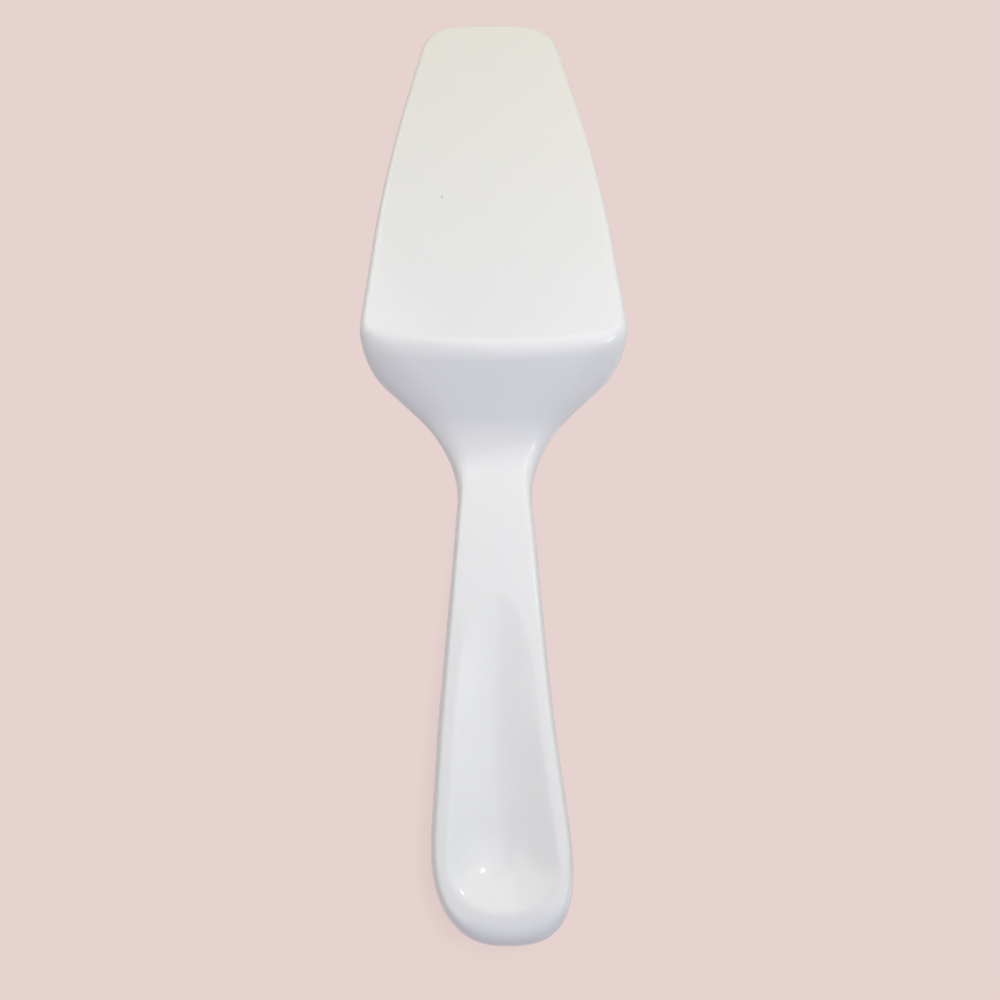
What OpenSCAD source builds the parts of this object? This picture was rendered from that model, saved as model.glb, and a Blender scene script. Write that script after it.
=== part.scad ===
// Cake server in glazed bone china: blade, crank, neck and handle fired as one piece.
// The middle of the blade's flat underside is the origin, and the tip points along +X.
// Places along the server are measured from the line across its shoulders.

/* [Blade] */
// Length of the blade, from the shoulders to the tip
blade_len = 114; // [98:1:130]
// Width across the shoulders, before they are rounded
heel_w = 69.4; // [62:0.2:76]
// Width of the blade halfway along, where its sides lean in more
mid_w = 59.4; // [54:0.2:64]
// Width that the sides would reach at the tip, before it is rounded
tip_w = 36.4; // [30:0.2:42]
// Radius of the long curve of each side
side_r = 450; // [300:10:600]
// Radius of the shoulders, seen from above
shoulder_r = 15.5; // [11:0.5:18]
// Length of the rounded tip
tip_round = 14; // [10:0.5:18]
// Thickness in the middle of the heel
heel_t = 5.6; // [4.8:0.1:6.6]
// Thickness in the middle of the tip
tip_t = 4.2; // [3.6:0.1:4.8]
// Fall of the top from its middle to the blade's edge
blade_crown = 0.6; // [0.3:0.1:1]
// Width of the rounding under the blade's edge
blade_under_w = 1.9; // [1.5:0.1:2.4]
// Width of the rounding on top of the blade's edge
blade_over_w = 3.6; // [2.8:0.1:4.6]

/* [Crank and neck] */
// Distance from the shoulders back to the middle of the heel crease, where the flat blade ends
heel_back = 0.8; // [0.2:0.1:2.4]
// How much farther forward the crease lies at the shoulders than in its middle
heel_bow = 4; // [2.5:0.1:5]
// Height of the neck's underside above the blade's
crank_rise = 18; // [14:0.5:22]
// Length of the crank along the server
crank_run = 17.3; // [15:0.1:20]
// Radius of the soft heel crease under the blade
heel_r = 8; // [5:0.5:12]
// Radius of the hollow bend from the crank to the neck, underneath
bend_r = 18; // [13:0.5:24]
// Width of the rounding under the crank's sides, at the heel
crank_under_w = 8; // [6:0.2:10]
// Radius of the blend from that width to the blade's and the handle's
under_blend_r = 10; // [6:0.5:14]
// Radius of the hollow between the blade's top and the crank
throat_r = 10; // [7:0.5:14]
// Radius of the rounded back of the crank, on top
back_r = 26; // [18:1:32]
// Thickness of the neck, measured upright
neck_t = 9.3; // [8:0.1:10.6]
// Width that the sides would reach at the neck, before the blend
neck_w = 17.2; // [15:0.2:20]
// Distance from the shoulders to where the sides reach the neck
neck_x = 19.8; // [17:0.1:22]
// Radius of the blend from the crank's sides to the neck's
neck_r = 25; // [19:0.5:32]

/* [Handle] */
// Length from the shoulders to the end of the handle
handle_len = 136; // [122:1:150]
// Distance from the shoulders to the middle of the handle
grip_x = 78; // [70:1:86]
// Width at the middle of the handle
grip_w = 26; // [23:0.2:29]
// Width that the sides would reach at the handle's end, before it is rounded
end_w = 36; // [32:0.2:40]
// Radius of the long hollow curve of each side
flare_r = 900; // [600:20:1200]
// Length of the rounded end
end_round = 27; // [22:0.5:32]
// Height of the handle's underside at its end, above the blade's
end_rise = 27; // [22:0.5:32]
// Thickness at the middle of the handle
grip_t = 11.8; // [10.4:0.1:13]
// Thickness at the handle's end, before it is rounded
end_t = 12.4; // [11:0.1:14]
// Radius of the long arch of the handle's top
arch_r = 900; // [600:20:1200]
// Fall of the top from its middle to the handle's edge
handle_crown = 2.2; // [1.4:0.1:3]
// Width of the rounding under the handle's edge
handle_under_w = 1.8; // [1.5:0.1:2.4]
// Width of the rounding on top of the handle's edge
handle_over_w = 8; // [6:0.2:9]
// Width of the rounding under the handle's end
nose_under_w = 6.8; // [5:0.1:8]
// Width of the rounding on top of the handle's end
nose_over_w = 10; // [8:0.2:12]

/* [Scoop under the handle] */
// Distance from the shoulders to the arched start of the scoop
scoop_start = 57; // [50:1:64]
// Distance from the shoulders to the deepest point
scoop_low = 118; // [110:1:120]
// Distance from the shoulders to the scoop's end
scoop_stop = 130; // [127:0.5:131]
// Depth at the deepest point
scoop_depth = 3.6; // [1.5:0.1:4.5]
// Radius along the floor at the deepest point
scoop_floor_r = 40; // [20:2:60]
// Width of the rim beside the scoop
rim_w = 4; // [3.4:0.1:4.6]
// Length of the arched start
arch_len = 20; // [12:1:28]
// Length of the rounded end of the scoop
bowl_len = 11; // [9:0.5:14]

/* [Hidden] */

// How square the two ends are: 2 is an ellipse, and more is squarer
tip_squareness = 3.8;
end_squareness = 2.6;
// Part of the edge's thickness that lies below its widest line
parting_share = 0.43;
// Most of a straight run, or of a half width, that one rounding may take
fit_share = 0.46;
edge_fit_share = 0.8;
// Where the two leans of the blade's sides meet, as a share of its length
mid_share = 0.5;
// The scoop's section is a raised parabola: this power softens its rim
scoop_softness = 1.25;
// Least cosine between a section and the outline's normal
least_cosine = 0.4;
// How far the blade's skin reaches below its flat underside, before the flat is cut
flat_sink = 0.02;

// Sections along the rounded ends, the handle, the crank, the heel and the blade
end_steps = 14;
handle_steps = 26;
crank_steps = 22;
heel_steps = 16;
tip_steps = 12;
blade_steps = 11;
// Steps across one section: under, round each half of the edge, and on top
under_steps = 8;
edge_steps = 5;
over_steps = 5;

// Corners of each long line, from the handle's end to the tip: place, value, radius.
// They are the sides, the underside, the top, the width of the rounding under the edge and
// the floor of the scoop.
side_line = [
    [-handle_len, end_w / 2, 0],
    [-grip_x, grip_w / 2, flare_r],
    [-neck_x, neck_w / 2, neck_r],
    [0, heel_w / 2, shoulder_r],
    [blade_len * mid_share, mid_w / 2, side_r],
    [blade_len, tip_w / 2, 0]
];
bend_x = -heel_back - crank_run;
under_line = [
    [-handle_len, end_rise, 0],
    [bend_x, crank_rise, bend_r],
    [flat_sink * crank_run / crank_rise - heel_back, -flat_sink, heel_r],
    [blade_len, -flat_sink, 0]
];
grip_rise = lookup(-grip_x, [for (c = under_line) [c[0], c[1]]]);
throat_x = (neck_t - heel_t) * crank_run / crank_rise - heel_back;
over_line = [
    [-handle_len, end_rise + end_t, 0],
    [-grip_x, grip_rise + grip_t, arch_r],
    [bend_x, crank_rise + neck_t, back_r],
    [throat_x, heel_t, throat_r],
    [blade_len, tip_t, 0]
];
under_edge_line = [
    [-handle_len, handle_under_w, 0],
    [-neck_x - neck_r / 2, handle_under_w, under_blend_r],
    [-heel_back, crank_under_w, under_blend_r],
    [shoulder_r / 2, blade_under_w, under_blend_r],
    [blade_len, blade_under_w, 0]
];
floor_line = [
    [-scoop_stop, 0, 0],
    [-scoop_low, scoop_depth, scoop_floor_r],
    [-scoop_start, 0, 0]
];

// A line's value at x: straight between its corners, with an arc at each inner corner
function heading(c, i) = atan2(c[i + 1][1] - c[i][1], c[i + 1][0] - c[i][0]);
function span(c, i) = norm([c[i + 1][0] - c[i][0], c[i + 1][1] - c[i][1]]);
function turn(c, i) = heading(c, i) - heading(c, i - 1);
function tangent(c, i) =
    min(c[i][2] * tan(abs(turn(c, i)) / 2), fit_share * min(span(c, i - 1), span(c, i)));
function arc_value(x, c, i) =
    let (
        way = sign(turn(c, i)),
        t = tangent(c, i),
        r = t / tan(abs(turn(c, i)) / 2),
        before = heading(c, i - 1),
        mid_x = c[i][0] - t * cos(before) - way * r * sin(before),
        mid_v = c[i][1] - t * sin(before) + way * r * cos(before)
    )
    mid_v - way * sqrt(r * r - (x - mid_x) * (x - mid_x));
function in_arc(x, c, i) =
    x > c[i][0] - tangent(c, i) * cos(heading(c, i - 1))
    && x < c[i][0] + tangent(c, i) * cos(heading(c, i));
function value(x, c) =
    let (arcs = [for (i = [1:len(c) - 2]) if (in_arc(x, c, i)) i])
    len(arcs) > 0 ? arc_value(x, c, arcs[0]) : lookup(x, [for (p = c) [p[0], p[1]]]);

// Smooth change from 0 on the blade to 1 on the handle, over the crank
function grip_mix(x) = let (u = min(1, max(0, -x / neck_x))) u * u * (3 - 2 * u);
function blend(x, on_blade, on_handle) = on_blade + (on_handle - on_blade) * grip_mix(x);
function crown(x) = blend(x, blade_crown, handle_crown);

// Heights of the underside and the top over a point in plan. Both lines bow forward at the sides.
function bowed(p) = p[0] - heel_bow * pow(2 * p[1] / heel_w, 2);
function under_z(p) = value(bowed(p), under_line);
function over_z(p) = value(bowed(p), over_line) - crown(p[0]);

// Depth of the scoop: a ramp with a steeper end wall, arched at its start, soft at its rim
function quarter(u) = let (v = 1 - min(1, max(0, u))) sqrt(1 - v * v);
function scoop_half(x) =
    (value(x, side_line) - rim_w)
    * quarter((-x - scoop_start) / arch_len)
    * quarter((scoop_stop + x) / bowl_len);
function scoop(x, y) =
    x > -scoop_start || x < -scoop_stop || y >= scoop_half(x) ? 0
    : value(x, floor_line) * pow(1 - pow(y / scoop_half(x), 2), scoop_softness);

// Places along the server where the sections change their spacing
end_x = end_round - handle_len;
crank_x = -neck_x - tangent(side_line, 2);
heel_back_x = -tangent(side_line, 3);
heel_front_x = max(tangent(side_line, 3), throat_x + tangent(over_line, 3));
tip_x = blade_len - tip_round;

// Half outline from the tip to the handle's end. Each end is a superellipse.
function round_end(from, long, power, angle) =
    let (x = from + long * pow(cos(angle), 2 / power))
    [x, value(x, side_line) * pow(sin(angle), 2 / power)];
function stretch(from, to, steps) =
    [for (i = [1:steps]) let (x = from + (to - from) * i / steps) [x, value(x, side_line)]];
outline = [
    for (i = [0:tip_steps]) round_end(tip_x, tip_round, tip_squareness, 90 * i / tip_steps),
    each stretch(tip_x, heel_front_x, blade_steps),
    each stretch(heel_front_x, heel_back_x, heel_steps),
    each stretch(heel_back_x, crank_x, crank_steps),
    each stretch(crank_x, end_x, handle_steps),
    for (i = [end_steps - 1:-1:0]) round_end(end_x, -end_round, end_squareness, 90 * i / end_steps)
];
last = len(outline) - 1;
around = 2 * last;

// Point h of the outline, mirrored past its two ends
function rim_point(h) =
    h < 0 ? [outline[-h][0], -outline[-h][1]]
    : h > last ? [outline[2 * last - h][0], -outline[2 * last - h][1]]
    : outline[h];

// Half section h: from near the spine under the body, round the edge, back on top
function half_section(h) =
    let (
        rim = outline[h],
        along = rim_point(h - 1) - rim_point(h + 1),
        normal = [along[1], -along[0]] / norm(along),
        root = [min(tip_x, max(end_x, rim[0])), 0],
        long = norm(rim - root),
        ray = (rim - root) / long,
        cosine = max(least_cosine, abs(ray * normal)),
        nose = rim[0] < end_x ? pow(normal[0], 4) : 0,
        under_w = value(rim[0], under_edge_line) + (nose_under_w - handle_under_w) * nose,
        over_w = blend(rim[0], blade_over_w, handle_over_w + (nose_over_w - handle_over_w) * nose),
        under = min(under_w / cosine, edge_fit_share * long),
        over = min(over_w / cosine, edge_fit_share * long),
        edge_t = over_z(rim) - under_z(rim),
        lift = edge_t * parting_share,
        drop = edge_t - lift
    )
    [
        for (i = [1:under_steps]) under_point(root + ray * (long - under) * i / under_steps, 0),
        for (i = [1:edge_steps])
            let (angle = 90 * i / edge_steps)
            under_point(root + ray * (long - under * (1 - sin(angle))), lift * (1 - cos(angle))),
        for (i = [edge_steps - 1:-1:0])
            let (angle = 90 * i / edge_steps, reach = long - over * (1 - sin(angle)))
            over_point(root + ray * reach, reach / long, drop * (1 - cos(angle))),
        for (i = [over_steps - 1:-1:1])
            let (reach = (long - over) * i / over_steps)
            over_point(root + ray * reach, reach / long, 0)
    ];
function under_point(p, lift) = [p[0], p[1], under_z(p) + scoop(p[0], p[1]) + lift];
function over_point(p, way, drop) =
    [p[0], p[1], over_z(p) + crown(p[0]) * (1 - way * way) - drop];

// Skin through the sections. Both halves share one spine under the body and one on top.
module skin() {
    halves = [for (h = [0:last]) half_section(h)];
    ring = len(halves[0]);
    spine = last - tip_steps - end_steps;
    spine_x = [for (m = [0:spine]) outline[m + tip_steps][0]];
    points = [
        for (i = [0:around - 1])
            let (right = i <= last)
            for (p = halves[right ? i : around - i]) [p[0], right ? p[1] : -p[1], p[2]],
        for (x = spine_x) under_point([x, 0], 0),
        for (x = spine_x) over_point([x, 0], 0, 0)
    ];
    under_spine = around * ring;
    over_spine = under_spine + spine + 1;
    station = function (i) let (h = i <= last ? i : around - i) min(spine, max(0, h - tip_steps));
    faces = [
        for (i = [0:around - 1])
            let (
                next = (i + 1) % around,
                row = [
                    under_spine + station(i),
                    for (k = [0:ring - 1]) i * ring + k,
                    over_spine + station(i)
                ],
                row_next = [
                    under_spine + station(next),
                    for (k = [0:ring - 1]) next * ring + k,
                    over_spine + station(next)
                ]
            )
            for (k = [0:ring])
                let (a = row[k], b = row[k + 1], c = row_next[k + 1], d = row_next[k])
                each a == d ? [[a, b, c]] : b == c ? [[a, b, d]]
                : i < last ? [[a, b, c], [a, c, d]] : [[a, b, d], [b, c, d]]
    ];
    polyhedron(points, faces);
}

// Everything below the blade's flat underside
module below_flat() {
    translate([bend_x, -heel_w, -heel_t])
        cube([blade_len + heel_t - bend_x, 2 * heel_w, heel_t]);
}

// The whole server: one fired body
module china_body() {
    color("whitesmoke") translate([-blade_len / 2, 0, 0])
        difference() {
            skin();
            below_flat();
        }
}

china_body();
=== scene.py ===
# %% [markdown]
# # A cake server in glazed bone china
# The server is one piece of white china: a flat tapering blade, a crank that lifts the hand clear of the cake,
# a narrow neck and a handle with a shallow scoop underneath. The measured model is already in the scene as a
# fixed frame. This lesson lays a finer skin over it, glazes it, and sets it in a small studio.

# %% Load the measured frame
import bpy
import numpy as np
from mathutils import Matrix, Vector


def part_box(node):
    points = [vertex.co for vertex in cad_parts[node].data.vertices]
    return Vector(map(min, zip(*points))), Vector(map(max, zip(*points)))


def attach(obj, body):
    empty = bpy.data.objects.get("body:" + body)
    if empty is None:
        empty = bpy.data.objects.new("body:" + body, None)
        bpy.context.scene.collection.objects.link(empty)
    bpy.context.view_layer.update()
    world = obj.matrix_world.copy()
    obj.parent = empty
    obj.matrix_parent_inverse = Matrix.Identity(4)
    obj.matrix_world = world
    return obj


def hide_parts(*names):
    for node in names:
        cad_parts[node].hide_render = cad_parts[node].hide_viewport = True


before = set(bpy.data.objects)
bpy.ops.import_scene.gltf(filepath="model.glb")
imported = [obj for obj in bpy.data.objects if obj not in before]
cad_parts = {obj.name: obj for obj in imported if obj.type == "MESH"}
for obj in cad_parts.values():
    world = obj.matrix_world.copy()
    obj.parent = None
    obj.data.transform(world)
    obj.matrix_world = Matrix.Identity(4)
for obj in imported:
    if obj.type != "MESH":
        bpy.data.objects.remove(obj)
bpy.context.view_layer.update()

low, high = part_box("china_body")
print("server, in mm:", [round(1000 * (b - a), 1) for a, b in zip(low, high)])

# %% [markdown]
# ## Sizes
# The sizes are in millimetres, and places along the server are counted from the line across its shoulders, with
# the tip ahead and the handle behind. Blender works in metres, so one scale turns the one into the other. It is
# read off the frame's own box, and the server therefore always fits its frame.

# %% Name the sizes of the server
BLADE, HANDLE = 114.0, 136.0
TIP_ROUND, END_ROUND = 14.0, 27.0
TIP_SQUARE, END_SQUARE = 3.8, 2.6
THROAT_X, HEEL_X, BEND_X, NECK_X, GRIP_X = 2.76, -0.8, -18.1, -19.8, -78.0
BEND_RISE, END_RISE, GRIP_THICK = 18.0, 27.0, 11.8
SCOOP_START, SCOOP_STOP, SCOOP_ARCH, SCOOP_BOWL = -57.0, -130.0, 20.0, 11.0
RIM, SCOOP_SOFT = 4.0, 1.25
BLADE_CROWN, HANDLE_CROWN = 0.6, 2.2
PARTING = 0.43
HEEL_BOW, HEEL_HALF = 4.0, 34.7

tip_x, end_x = BLADE - TIP_ROUND, END_ROUND - HANDLE
scale = (high.x - low.x) / (BLADE + HANDLE)
print("metres in a millimetre of the server:", round(scale, 6))

# %% [markdown]
# ## Long lines
# A few long lines give the server its form: its side seen from above, and its underside, its top and the scoop's
# floor seen from the side. One more says how wide the rounding under the edge is, and it widens over the crank. A
# maker would cut them as templates. A spline could follow them, but it overshoots beside a tight bend. Straight runs
# with an arc at each corner keep the flat of the blade flat, and the radius of each bend is a size that can be read
# and changed.

# %% Draw a line with rounded corners
def rounded(x, corners, most=0.46):
    """Value at x of a line through corners (place, value, radius), rounded by an arc at each inner corner.

    The arc touches both runs at t = r tan(turn / 2) from the corner, and t is at most a share of either run.
    Inside it, value = middle -+ sqrt(r^2 - (x - middle_x)^2).
    """
    place, height, radius = np.array(corners, float).T
    value = np.interp(x, place, height)
    head = np.arctan2(np.diff(height), np.diff(place))
    run = np.hypot(np.diff(height), np.diff(place))
    for i in range(1, len(place) - 1):
        turn = head[i] - head[i - 1]
        t = min(radius[i] * np.tan(abs(turn) / 2), most * min(run[i - 1], run[i]))
        r, way = t / np.tan(abs(turn) / 2), np.sign(turn)
        start = place[i] - t * np.cos(head[i - 1])
        middle_x = start - way * r * np.sin(head[i - 1])
        middle = height[i] - t * np.sin(head[i - 1]) + way * r * np.cos(head[i - 1])
        inside = (x > start) & (x < place[i] + t * np.cos(head[i]))
        arc = middle - way * np.sqrt(np.maximum(r * r - (x - middle_x) ** 2, 0))
        value = np.where(inside, arc, value)
    return value

# %% Set out the lines
WIDE_FROM, WIDE_TO = -32.3, 7.75

side = [(-HANDLE, 18, 0), (GRIP_X, 13, 900), (NECK_X, 8.6, 25),
        (0, HEEL_HALF, 15.5), (BLADE / 2, 29.7, 450), (BLADE, 18.2, 0)]
under = [(-HANDLE, END_RISE, 0), (BEND_X, BEND_RISE, 18), (HEEL_X, 0, 8), (BLADE, 0, 0)]
grip_top = np.interp(GRIP_X, [-HANDLE, BEND_X], [END_RISE, BEND_RISE]) + GRIP_THICK
over = [(-HANDLE, 39.4, 0), (GRIP_X, grip_top, 900), (BEND_X, 27.3, 26), (THROAT_X, 5.6, 10), (BLADE, 4.2, 0)]
under_edge = [(-HANDLE, 1.8, 0), (WIDE_FROM, 1.8, 10), (HEEL_X, 8, 10), (WIDE_TO, 1.9, 10), (BLADE, 1.9, 0)]
floor = [(SCOOP_STOP, 0, 0), (-118, 3.6, 40), (SCOOP_START, 0, 0)]

for name, corners in [("side", side), ("under", under), ("over", over), ("edge", under_edge), ("scoop", floor)]:
    print(name, "at its corners:", np.round(rounded(np.array([c[0] for c in corners], float), corners), 1))

# %% [markdown]
# ## Outline
# Seen from above the server is one closed curve. Its two ends are superellipses, which are squarer than an ellipse
# and still have no corner, as a pressed china edge has. Between them it follows the side line, with more stations
# where the line bends. Half of the curve is enough, because the other half is its mirror image.

# %% Walk round half the outline
def round_end(start, length, power, steps):
    """One rounded end: x = start + length cos(a)^(2/p), y = side(x) sin(a)^(2/p), for a from 0 to 90 degrees."""
    angle = np.linspace(0, np.pi / 2, steps + 1)
    x = start + length * np.cos(angle) ** (2 / power)
    return np.column_stack([x, rounded(x, side) * np.sin(angle) ** (2 / power)])


def stretch(start, stop, steps):
    """Points on the side line, evenly spaced after start and up to stop."""
    x = np.linspace(start, stop, steps + 1)[1:]
    return np.column_stack([x, rounded(x, side)])


TIP_STEPS, END_STEPS = 44, 48
outline = np.vstack([
    round_end(tip_x, TIP_ROUND, TIP_SQUARE, TIP_STEPS),
    stretch(tip_x, 10, 70),
    stretch(10, -7, 64),
    stretch(-7, -32, 76),
    stretch(-32, end_x, 90),
    round_end(end_x, -END_ROUND, END_SQUARE, END_STEPS)[-2::-1],
])
last = len(outline) - 1
print("half outline:", len(outline), "points, widest", round(2 * outline[:, 1].max(), 1), "mm")

# %% [markdown]
# ## Scoop
# Under the handle a shallow hollow takes the fingertip. It starts in an arch, gets deeper along a ramp, and ends in
# a steeper rounded wall. Its depth is the ramp's value times a soft bump across the handle, so it fades into the
# rims on both sides without an edge.

# %% Hollow the underside of the handle
def quarter(u):
    """Quarter of an ellipse: 0 at u = 0, rising to 1 at u = 1 and staying there."""
    return np.sqrt(1 - (1 - np.clip(u, 0, 1)) ** 2)


def scoop(x, y):
    """Depth of the scoop: floor(x) (1 - (y / half width)^2)^1.25, and 0 outside the half width."""
    half = (rounded(x, side) - RIM) * quarter((SCOOP_START - x) / SCOOP_ARCH) * quarter((x - SCOOP_STOP) / SCOOP_BOWL)
    across = 1 - (y / np.maximum(half, 1e-6)) ** 2
    return np.where(across > 0, rounded(x, floor), 0) * np.maximum(across, 0) ** SCOOP_SOFT


print("deepest:", round(float(scoop(np.linspace(-126, -58, 200), np.zeros(200)).max()), 2), "mm")

# %% [markdown]
# ## Sections
# A section leaves a spine in the middle of the server, runs out under it to the edge, goes round the edge and comes
# back on top. The edge is a quarter ellipse below its widest line and another above. Along the blade the sections
# lie square to the server, and at each rounded end they spread like a fan. A section that meets the outline at a slant
# crosses the edge over a longer way, so its edge is made wider by one over the cosine of the slant. At the handle's
# end the edge is rounder still. Thin and thick places, flats and bends all come from the same few lines, which is why
# the glaze runs over them without a seam.

# %% Widths and heights that each section needs
LEAST_COSINE, MOST_EDGE = 0.4, 0.8
BLADE_OVER, HANDLE_OVER = 3.6, 8.0
NOSE_UNDER, NOSE_OVER = 5.0, 2.0


def blend(x, on_blade, on_handle):
    """Smooth change from the blade's value to the handle's: s = 3u^2 - 2u^3 with u = x / neck, over the crank."""
    u = np.clip(x / NECK_X, 0, 1)
    return on_blade + (on_handle - on_blade) * u * u * (3 - 2 * u)


def height(x, y, corners):
    """Height of a long line over a point, bowed: the line's value at x - bow (y / half width of the heel)^2."""
    return rounded(x - HEEL_BOW * (y / HEEL_HALF) ** 2, corners)


mirrored = outline * [1, -1]
along = np.vstack([mirrored[1], outline[:-1]]) - np.vstack([outline[1:], mirrored[-2]])
normal = np.column_stack([along[:, 1], -along[:, 0]]) / np.linalg.norm(along, axis=1)[:, None]
root = np.column_stack([np.clip(outline[:, 0], end_x, tip_x), np.zeros(last + 1)])
long = np.linalg.norm(outline - root, axis=1)
ray = (outline - root) / long[:, None]
cosine = np.maximum(LEAST_COSINE, np.abs((ray * normal).sum(1)))

x = outline[:, 0]
nose = np.where(x < end_x, normal[:, 0] ** 4, 0)
under_width = np.minimum((rounded(x, under_edge) + NOSE_UNDER * nose) / cosine, MOST_EDGE * long)
over_width = np.minimum(blend(x, BLADE_OVER, HANDLE_OVER + NOSE_OVER * nose) / cosine, MOST_EDGE * long)
crown = blend(x, BLADE_CROWN, HANDLE_CROWN)
edge = height(*outline.T, over) - crown - height(*outline.T, under)
print("edge thickness from", round(edge.min(), 1), "to", round(edge.max(), 1), "mm")

# %% Sweep the sections round the outline
UNDER_STEPS, EDGE_STEPS, OVER_STEPS = 26, 11, 20


def sections():
    """Half sections as an array of outline point x ring point x (x, y, z).

    Point = root + ray reach. Round the edge, reach = long - width (1 - sin a) and the height changes by
    (1 - cos a) of the part of the edge's thickness on that side of its widest line.
    """
    a = np.linspace(0, np.pi / 2, EDGE_STEPS + 1)[1:]
    b = np.linspace(np.pi / 2, 0, EDGE_STEPS + 1)[1:]
    out = np.linspace(0, 1, UNDER_STEPS + 1)[1:]
    back = np.linspace(1, 0, OVER_STEPS + 1)[1:-1]
    reach_under = np.hstack([np.outer(long - under_width, out), long[:, None] - np.outer(under_width, 1 - np.sin(a))])
    reach_over = np.hstack([long[:, None] - np.outer(over_width, 1 - np.sin(b)), np.outer(long - over_width, back)])
    lift = np.hstack([np.zeros((last + 1, UNDER_STEPS)), np.outer(edge * PARTING, 1 - np.cos(a))])
    drop = np.hstack([np.outer(edge * (1 - PARTING), 1 - np.cos(b)), np.zeros((last + 1, OVER_STEPS - 1))])
    reach = np.hstack([reach_under, reach_over])
    flat = root[:, None] + ray[:, None] * reach[..., None]
    px, py, n = flat[..., 0], flat[..., 1], reach_under.shape[1]
    below = height(px[:, :n], py[:, :n], under) + scoop(px[:, :n], py[:, :n]) + lift
    fall = blend(px[:, n:], BLADE_CROWN, HANDLE_CROWN) * (reach_over / long[:, None]) ** 2
    above = height(px[:, n:], py[:, n:], over) - fall - drop
    return np.dstack([px, py, np.hstack([below, above])])


half = sections()
ring = half.shape[1]
print("sections:", 2 * last, "with", ring, "points each")

# %% [markdown]
# ## Firing
# China moves a little in the kiln. The real handle leaves the middle line by about a millimetre in the middle of its
# length, and its end turns back past the line by a little more. A slow sideways curve does the same here. It is far
# too small to change the sizes, but without it the piece would look like a drawing and not like something fired.

# %% Bend the middle line as the kiln does
def kiln_bend(x):
    """Sideways shift in mm: straight runs between the shifts seen along the server, averaged over 20 mm."""
    return np.interp(x, every_mm, bend_curve)


AVERAGED = 20
places = [-HANDLE, -126, -118, -105, -88, -72, -45, -10, 20, 60, BLADE]
shifts = [1.7, 0.35, -0.1, -0.45, -0.9, -0.8, -0.45, -0.25, -0.05, 0.15, 0.2]
every_mm = np.linspace(-HANDLE, BLADE, round(BLADE + HANDLE) + 1)
straight = np.interp(every_mm, places, shifts)
window = np.hanning(AVERAGED + 1)[1:-1] / (AVERAGED / 2)
bend_curve = np.convolve(np.pad(straight, len(window) // 2, mode="edge"), window, "valid")
print("sideways shift at the grip and at the end:", np.round(kiln_bend(np.array([-88.0, -HANDLE])), 2), "mm")

# %% [markdown]
# ## Skin
# The half sections and their mirror images make one closed shell. The sections of both halves share the points of
# the spine, under the body and on top, so there is no seam, and where a fan of sections meets in one point the
# faces are triangles. Every face is wound anticlockwise seen from outside, which makes its normal point outwards.

# %% Close the shell
def skin(half):
    """Vertices and faces of the shell: rings right, then left, then the spine below and the spine above."""
    left = half[last - 1:0:-1] * [1, -1, 1]
    spine_x = outline[TIP_STEPS:last - END_STEPS + 1, 0]
    zero = np.zeros_like(spine_x)
    spine_under = np.column_stack([spine_x, zero, rounded(spine_x, under) + scoop(spine_x, zero)])
    spine_over = np.column_stack([spine_x, zero, rounded(spine_x, over)])
    points = np.vstack([half.reshape(-1, 3), left.reshape(-1, 3), spine_under, spine_over])

    around = 2 * last
    i = np.arange(around)
    station = np.clip(np.where(i <= last, i, around - i) - TIP_STEPS, 0, len(spine_x) - 1)
    first = around * ring
    row = np.column_stack([first + station, i[:, None] * ring + np.arange(ring), first + len(spine_x) + station])
    after = np.roll(row, -1, axis=0)
    quads = np.stack([after[:, :-1], after[:, 1:], row[:, 1:], row[:, :-1]], axis=-1).reshape(-1, 4)
    three_under, three_over = quads[:, 0] == quads[:, 3], quads[:, 1] == quads[:, 2]
    faces = quads[~(three_under | three_over)].tolist()
    faces += quads[three_under][:, [0, 1, 2]].tolist() + quads[three_over][:, [0, 1, 3]].tolist()
    return points, faces


def add_piece(name, points, faces):
    """A mesh object at the origin, with its place in its points and smooth faces."""
    mesh = bpy.data.meshes.new(name)
    mesh.from_pydata(points.tolist(), [], faces)
    mesh.shade_smooth()
    piece = bpy.data.objects.new(name, mesh)
    bpy.context.scene.collection.objects.link(piece)
    return piece


points, faces = skin(half)
points[:, 1] += kiln_bend(points[:, 0])
points[:, 0] -= BLADE / 2
china = add_piece("china_skin", points * scale, faces)
print("skin:", len(points), "points,", sum(len(f) - 2 for f in faces), "triangles")

# %% [markdown]
# ## Finishes
# Every finish is a small tree of shader nodes. One function adds a node, gives it its settings and joins its
# inputs, and one turns a colour as a screen shows it into the linear values that Blender counts in.

# %% Helpers for finishes
def linear(code):
    """sRGB hex to linear RGBA: c / 12.92 below 0.04045, else ((c + 0.055) / 1.055)^2.4."""
    c = np.array([int(code[i:i + 2], 16) for i in (1, 3, 5)]) / 255
    return (*np.where(c <= 0.04045, c / 12.92, ((c + 0.055) / 1.055) ** 2.4).tolist(), 1.0)


def add_node(tree, kind, inputs=(), **settings):
    """Adds a node. inputs maps a socket's name or number to a value, or to an output socket to link."""
    node = tree.nodes.new(kind)
    for key, value in settings.items():
        setattr(node, key, value)
    for key, value in dict(inputs).items():
        if isinstance(value, bpy.types.NodeSocket):
            tree.links.new(value, node.inputs[key])
        else:
            node.inputs[key].default_value = value
    return node


def new_finish(name):
    """An empty material with its output, ready for its nodes."""
    finish = bpy.data.materials.new(name)
    finish.use_nodes = True
    finish.node_tree.nodes.clear()
    return finish, finish.node_tree, finish.node_tree.nodes.new("ShaderNodeOutputMaterial")


print("china white in linear light:", [round(v, 3) for v in linear("#F2F0EB")])

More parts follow.
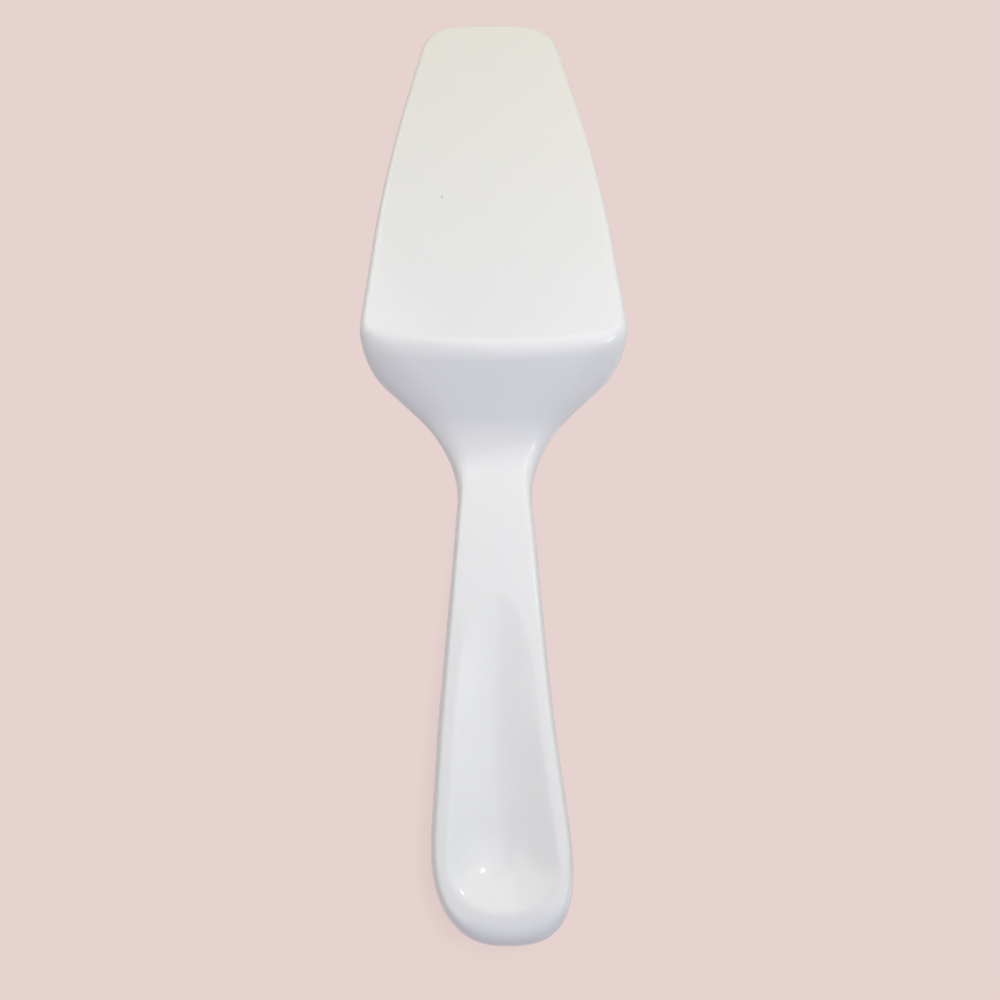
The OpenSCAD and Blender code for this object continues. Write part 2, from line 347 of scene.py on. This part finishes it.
# %% [markdown]
# ## Glazed bone china
# Bone china is a dense white body under a clear glassy glaze. The body is slightly translucent, so edges look soft.
# Towards the tip of the blade, where the china is thinnest, the colour turns warmer: a painted glow that stands in
# for light passing through the tip, which the thick handle doesn't get. The glaze melted on the piece. Its fine
# unevenness spreads each lamp into a broad soft sheen, which is the shader's own reflection, and its glassy face
# adds a fine sharp one, which is the coat. A slow waviness, with swells about 14 mm long, unsettles both. One faint
# speck of iron, a little over half a millimetre across, shows near the middle of the blade.

# %% Mix the glazed china
china_finish, tree, output = new_finish("glazed_bone_china")
place = add_node(tree, "ShaderNodeTexCoord").outputs["Object"]
across = add_node(tree, "ShaderNodeSeparateXYZ", {"Vector": place})
# painted glow: the colour turns warmer towards the tip, from #F1F1F1 to #F0EEE5, standing in for light through the
# thinnest china
tip_glow_share = add_node(tree, "ShaderNodeMapRange", {"Value": across.outputs["X"], "From Min": -0.06, "From Max": 0.057},
                interpolation_type="SMOOTHSTEP")
white_with_tip_glow = add_node(tree, "ShaderNodeMix", {"Factor": tip_glow_share.outputs["Result"], "A": linear("#F1F1F1"),
                                        "B": linear("#F0EEE5")}, data_type="RGBA")
away = add_node(tree, "ShaderNodeVectorMath", {0: place, 1: (-0.0092, -0.0135, 0.0)}, operation="DISTANCE")
speck = add_node(tree, "ShaderNodeMapRange", {"Value": away.outputs["Value"], "From Min": 0.00045, "From Max": 0.0002,
                                              "To Max": 0.45})
body = add_node(tree, "ShaderNodeMix", {"Factor": speck.outputs["Result"], "A": white_with_tip_glow.outputs["Result"],
                                        "B": linear("#6E625A")}, data_type="RGBA")
wave = add_node(tree, "ShaderNodeTexNoise", {"Vector": place, "Scale": 1 / 0.014, "Detail": 1.5, "Roughness": 0.4})
glaze = add_node(tree, "ShaderNodeBump", {"Height": wave.outputs["Fac"], "Strength": 0.12, "Distance": 0.0004})
shader = add_node(tree, "ShaderNodeBsdfPrincipled", {
    "Base Color": body.outputs["Result"], "Normal": glaze.outputs["Normal"], "Roughness": 0.32, "IOR": 1.5,
    "Subsurface Weight": 0.2, "Subsurface Radius": (1.0, 0.85, 0.7), "Subsurface Scale": 0.0015,
    "Coat Weight": 0.5, "Coat Roughness": 0.04, "Coat IOR": 1.5, "Coat Normal": glaze.outputs["Normal"],
})
tree.links.new(shader.outputs["BSDF"], output.inputs["Surface"])
china.data.materials.append(china_finish)

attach(china, "root")
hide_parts("china_body")
print("finish:", china_finish.name, "with", len(tree.nodes), "nodes")

# %% [markdown]
# ## Studio
# The server lies on a plain pale floor. It is looked at from below as well as from above, so the floor shows only
# to a camera above it. For every other ray it is clear, and the lamps under it reach the underside of the server.
# Near the server it is a matt card that takes the server's shadow. Further out it turns into the plain colour of
# the room, which leaves no edge at the horizon.

# %% Lay the floor
STUDIO = "#E6D2CF"


def sheet(name, corners, finish):
    """A flat sheet of the studio with its corners anticlockwise seen from its front. Only that front shows."""
    piece = add_piece(name, np.array(corners), [[0, 1, 2, 3]])
    piece.data.materials.append(finish)
    piece.visible_shadow = False
    return piece


def one_sided(tree, shader):
    """A shader that shows to the camera from the front, and is clear for all other rays and from behind."""
    seen = add_node(tree, "ShaderNodeLightPath")
    facing = add_node(tree, "ShaderNodeNewGeometry")
    front = add_node(tree, "ShaderNodeMath", {0: 1.0, 1: facing.outputs["Backfacing"]}, operation="SUBTRACT")
    shows = add_node(tree, "ShaderNodeMath", {0: seen.outputs["Is Camera Ray"], 1: front.outputs[0]},
                     operation="MULTIPLY")
    clear = add_node(tree, "ShaderNodeBsdfTransparent")
    return add_node(tree, "ShaderNodeMixShader", {0: shows.outputs[0], 1: clear.outputs[0], 2: shader.outputs[0]})


floor_finish, tree, output = new_finish("pale_card")
card = add_node(tree, "ShaderNodeBsdfDiffuse", {"Color": linear(STUDIO)})
haze = add_node(tree, "ShaderNodeEmission", {"Color": linear(STUDIO)})
spot = add_node(tree, "ShaderNodeTexCoord").outputs["Object"]
reach = add_node(tree, "ShaderNodeVectorMath", {0: spot, 1: (-0.068, 0.0, 0.0)}, operation="DISTANCE")
fade = add_node(tree, "ShaderNodeMapRange", {"Value": reach.outputs["Value"], "From Min": 0.2, "From Max": 0.75},
                interpolation_type="SMOOTHSTEP")
floor_look = add_node(tree, "ShaderNodeMixShader", {0: fade.outputs["Result"], 1: card.outputs[0],
                                                    2: haze.outputs[0]})
tree.links.new(one_sided(tree, floor_look).outputs[0], output.inputs["Surface"])

FLOOR_HALF, FLOOR_Z = 4.0, -0.0003
square = [(-1, -1), (1, -1), (1, 1), (-1, 1)]
ground = sheet("studio_floor", [(FLOOR_HALF * x, FLOOR_HALF * y, FLOOR_Z) for x, y in square], floor_finish)
print("floor:", ground.name, "at", round(ground.data.vertices[0].co.z * 1000, 2), "mm")

# %% [markdown]
# ## Card behind the server
# The camera of this lesson looks up at the server, with a card of the same pale colour as the floor behind it. The
# card touches the back of the handle near its end and slopes away from the neck and the blade. The card glows in its
# own colour and no lamp lights it, so its shade is painted: a faint soft painted shadow along the left of the handle
# and round its end, as if light passed the server from the right and from the tip's side. How dark it is comes from
# how much of that side the server hides within 8 mm. The card shows only from below.

# %% Lay the card against the back of the handle
CARD_SLOPE, TOUCH_X, TOUCH_Z, CLEAR = -0.06, -0.1695, 0.0373, 0.0002
CARD_BACK, CARD_FRONT, CARD_HALF = -0.6, 0.45, 0.5


def card_height(x):
    """Height of the card in metres: a straight slope through the touching point, 0.2 mm clear of it."""
    return TOUCH_Z + CLEAR + CARD_SLOPE * (x - TOUCH_X)


card_painted_shade_finish, tree, output = new_finish("pale_pink_card_painted_shade")
# painted shadow: the card's glowing colour is darkened towards #D2BFBC where the server hides the side toward the
# light
toward_light = add_node(tree, "ShaderNodeCombineXYZ", {"X": 0.3, "Y": 0.9, "Z": -0.3})
shade_occlusion = add_node(tree, "ShaderNodeAmbientOcclusion", {"Distance": 0.008, "Normal": toward_light.outputs[0]},
                    samples=16)
unshaded_share = add_node(tree, "ShaderNodeMapRange", {"Value": shade_occlusion.outputs["AO"], "From Min": 0.1, "From Max": 0.9})
pink_with_painted_shade = add_node(tree, "ShaderNodeMix", {"Factor": unshaded_share.outputs["Result"], "A": linear("#D2BFBC"),
                                        "B": linear(STUDIO)}, data_type="RGBA")
glow = add_node(tree, "ShaderNodeEmission", {"Color": pink_with_painted_shade.outputs["Result"]})
tree.links.new(one_sided(tree, glow).outputs[0], output.inputs["Surface"])

near, far = card_height(CARD_BACK), card_height(CARD_FRONT)
sheet("studio_card", [(CARD_BACK, -CARD_HALF, near), (CARD_BACK, CARD_HALF, near),
                      (CARD_FRONT, CARD_HALF, far), (CARD_FRONT, -CARD_HALF, far)], card_painted_shade_finish)
print("card slopes", round(float(np.degrees(np.arctan(CARD_SLOPE))), 1), "degrees")

# %% Fill the room with pale light
world = bpy.data.worlds.new("pale_room")
bpy.context.scene.world = world
world.use_nodes = True
tree = world.node_tree
tree.nodes.clear()
seen = add_node(tree, "ShaderNodeLightPath")
mirrored_ray = add_node(tree, "ShaderNodeMath", {0: seen.outputs["Is Glossy Ray"],
                                                 1: seen.outputs["Is Transmission Ray"]}, operation="MAXIMUM")
direct = add_node(tree, "ShaderNodeMath", {0: seen.outputs["Is Camera Ray"], 1: mirrored_ray.outputs[0]},
                  operation="MAXIMUM")
fill = add_node(tree, "ShaderNodeBackground", {"Color": linear("#F8F9FF"), "Strength": 0.18})
pale = add_node(tree, "ShaderNodeBackground", {"Color": linear(STUDIO), "Strength": 1.0})
either = add_node(tree, "ShaderNodeMixShader", {0: direct.outputs[0], 1: fill.outputs[0], 2: pale.outputs[0]})
output = add_node(tree, "ShaderNodeOutputWorld", {"Surface": either.outputs[0]})
print("room:", world.name)

# %% [markdown]
# ## Lamps
# Large soft lamps stand round the server on a sphere. Below it, the strongest two hang on the tip's side to the left,
# well under the surface. They keep the blade and the neck light, leave the crank's slope and the far wall of the
# scoop darker, and pass the steep left flank of the handle, which stays as a dark line. Cooler ones behind it turn
# the slope and the handle's end bluish, and two nearer ones brighten the neck and the right shoulder. Two small ones
# make sharp reflections in the glaze: a round one gives the two points of light in the scoop, and a window the streak
# on its right rim. Another window, above, lies as a pale sheen on the blade's top. A wide roof lights the top, and is
# left out of reflections, which show the pale room in its place. The camera sees none of the lamps themselves.

# %% Hang the lamps
def add_lamp(name, place, target, size, power, colour="#FFFFFF", shape="SQUARE", **shown):
    """An area lamp at a place, facing a target. Places and size in metres, power in watts."""
    lamp = bpy.data.lights.new(name, "AREA")
    lamp.shape, lamp.size, lamp.energy, lamp.color = shape, size, power, linear(colour)[:3]
    holder = bpy.data.objects.new(name, lamp)
    holder.location = place
    holder.rotation_euler = (Vector(target) - Vector(place)).to_track_quat("-Z", "Y").to_euler()
    for ray, seen in {"visible_camera": False, **shown}.items():
        setattr(holder, ray, seen)
    bpy.context.scene.collection.objects.link(holder)
    return holder


def lamp_around(name, azimuth, elevation, *look, away=0.9, **shown):
    """A lamp some metres from the server's middle, at (cos a cos e, sin a cos e, sin e), facing that middle."""
    a, e = np.radians([azimuth, elevation])
    middle = Vector((low + high) / 2)
    ray = Vector((np.cos(a) * np.cos(e), np.sin(a) * np.cos(e), np.sin(e)))
    return add_lamp(name, middle + ray * away, middle, *look, **shown)


lamps = [
    lamp_around("tip_left", 315, -56, 0.7, 1.55, "#F6FDFF"),
    lamp_around("tip_left_low", 315, -38, 0.7, 1.11, "#FFF9DC"),
    lamp_around("left_back", 225, -20, 0.7, 0.84, "#FFEBEF"),
    lamp_around("back_below", 180, -38, 0.7, 0.96, "#C4D6FF"),
    lamp_around("right_back", 135, -20, 0.7, 0.50, "#BCD2FF"),
    lamp_around("right_below", 90, -20, 0.7, 0.78, "#F3FFEA"),
    add_lamp("neck_below", (-0.05, 0.12, -0.30), (-0.08, 0, 0.02), 0.3, 0.29, "#FCFFFD"),
    add_lamp("shoulder_below", (0.05, 0.15, -0.25), (-0.04, 0, 0), 0.3, 0.19, "#FFF8F2"),
    lamp_around("window_below", 122, -46, 0.2, 0.8),
    lamp_around("scoop_point", 65, -67, 0.05, 0.16, shape="DISK"),
    lamp_around("roof", 230, 80, 1.8, 15.0, away=1.1, visible_glossy=False),
    lamp_around("window_above", 110, 30, 0.25, 0.3),
]
print("lamps:", [lamp.name for lamp in lamps])

# %% [markdown]
# ## Camera
# The camera looks up at the underside from below the handle's end. Its lens is as long as the picture is wide,
# which gives the mild perspective of a piece photographed from arm's length.

# %% Set the camera
def camera_turn(tilt, roll, spin):
    """Rotation whose columns are the camera's right, up and back, all angles in degrees.

    Before roll and spin: right = +Y, up = (cos t, 0, -sin t), back = -(sin t, 0, cos t). The roll turns about +X,
    and the spin turns right and up in the picture.
    """
    t, r, s = np.radians([tilt, roll, spin])
    about_x = np.array([[1, 0, 0], [0, np.cos(r), -np.sin(r)], [0, np.sin(r), np.cos(r)]])
    right, up, back = about_x @ [0, 1, 0], about_x @ [np.cos(t), 0, -np.sin(t)], about_x @ [-np.sin(t), 0, -np.cos(t)]
    turned = [np.cos(s) * right + np.sin(s) * up, np.cos(s) * up - np.sin(s) * right, back]
    return Matrix(np.array(turned).T.tolist())


lens = bpy.data.cameras.new("camera")
lens.sensor_width, lens.lens = 36, 36
lens.clip_start = 0.01
camera = bpy.data.objects.new("camera", lens)
bpy.context.scene.collection.objects.link(camera)
camera.matrix_world = Matrix.Translation((-0.19697, -0.00386, -0.20938)) @ camera_turn(25, -1.19, -1.16).to_4x4()
bpy.context.scene.camera = camera
bpy.context.scene.view_settings.view_transform = "Standard"
print("camera at", [round(v, 3) for v in camera.location])
